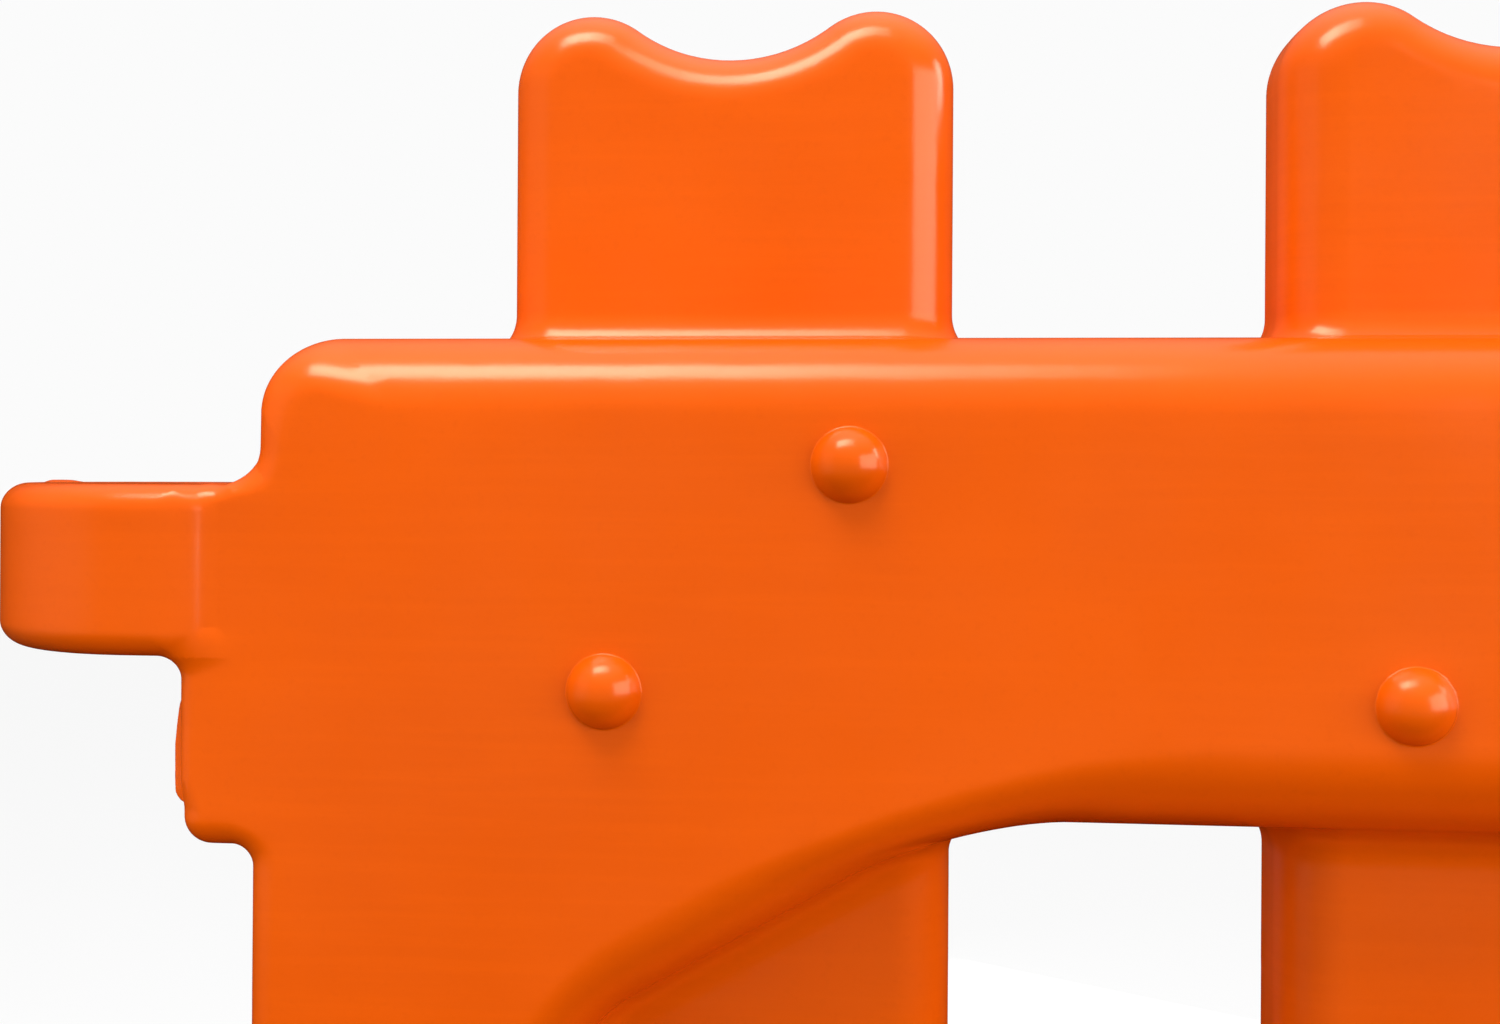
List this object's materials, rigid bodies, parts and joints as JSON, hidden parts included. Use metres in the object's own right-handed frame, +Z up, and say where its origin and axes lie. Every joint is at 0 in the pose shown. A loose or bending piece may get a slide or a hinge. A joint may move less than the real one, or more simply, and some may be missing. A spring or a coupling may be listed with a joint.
{
  "type": "water filled barrier",
  "caption": "Picket style moulded plastic barrier with a water ballast foot, screw filler cap, drain plugs, link eyes and a drop-in link rod.",
  "frame": {"origin": "centre of the bounding box on the ground", "axes": "+X along the barrier from the single link eyes to the forked ears, +Y to the rear, where the filler and drains are, +Z up"},
  "size_m": [2.083, 0.46, 1.0059],
  "materials": {
    "shell": "orange rotationally moulded polyethylene, satin",
    "insert": "natural nylon, satin",
    "seal": "black rubber",
    "cap": "black plastic, fine texture",
    "collar": "black plastic",
    "steel": "zinc plated steel",
    "pad": "black rubber, ribbed sole"
  },
  "bodies": {
    "shell": {"barrier_shell": "shell", "filler_insert": "insert", "drain_insert_left": "insert", "drain_insert_right": "insert", "grip_pad_front_1": "pad", "grip_pad_rear_1": "pad", "grip_pad_front_2": "pad", "grip_pad_rear_2": "pad", "grip_pad_front_3": "pad", "grip_pad_rear_3": "pad", "grip_pad_front_4": "pad", "grip_pad_rear_4": "pad"},
    "filler_seal": {"filler_gasket": "seal"},
    "filler_cap": {"filler_cap": "cap"},
    "drain_seal_left": {"drain_gasket_left": "seal"},
    "drain_plug_left": {"drain_plug_left": "cap"},
    "drain_seal_right": {"drain_gasket_right": "seal"},
    "drain_plug_right": {"drain_plug_right": "cap"},
    "rod_collar": {"rod_collar": "collar"},
    "link_rod": {"link_rod": "steel", "rod_handle": "steel"}
  },
  "joints": [
    {"name": "filler_cap_lift", "type": "slide", "parent": "shell", "child": "filler_seal", "axis": [0, 0, 1], "range_m": [0, 0.01801]},
    {"name": "filler_cap_turn", "type": "hinge", "parent": "filler_seal", "child": "filler_cap", "pos_m": [0.119, 0.15, 0.3], "axis": [0, 0, 1], "range_deg": [0, 810]},
    {"name": "drain_plug_left_lift", "type": "slide", "parent": "shell", "child": "drain_seal_left", "axis": [0, 1, 0], "range_m": [0, 0.01401]},
    {"name": "drain_plug_left_turn", "type": "hinge", "parent": "drain_seal_left", "child": "drain_plug_left", "pos_m": [-0.7865, 0.214, 0.052], "axis": [0, 1, 0], "range_deg": [0, 1260]},
    {"name": "drain_plug_right_lift", "type": "slide", "parent": "shell", "child": "drain_seal_right", "axis": [0, 1, 0], "range_m": [0, 0.01401]},
    {"name": "drain_plug_right_turn", "type": "hinge", "parent": "drain_seal_right", "child": "drain_plug_right", "pos_m": [0.8135, 0.214, 0.052], "axis": [0, 1, 0], "range_deg": [0, 1260]},
    {"name": "link_rod_lift", "type": "slide", "parent": "shell", "child": "rod_collar", "axis": [0, 0, 1], "range_m": [0, 0.58]},
    {"name": "link_rod_turn", "type": "hinge", "parent": "rod_collar", "child": "link_rod", "pos_m": [1.0135, 0, 0.9], "axis": [0, 0, 1], "continuous": true}
  ],
  "couplings": [
    {"joint": "filler_cap_lift", "follows": "filler_cap_turn", "m_per_rad": 0.0012732},
    {"joint": "drain_plug_left_lift", "follows": "drain_plug_left_turn", "m_per_rad": 0.00063662},
    {"joint": "drain_plug_right_lift", "follows": "drain_plug_right_turn", "m_per_rad": 0.00063662}
  ]
}
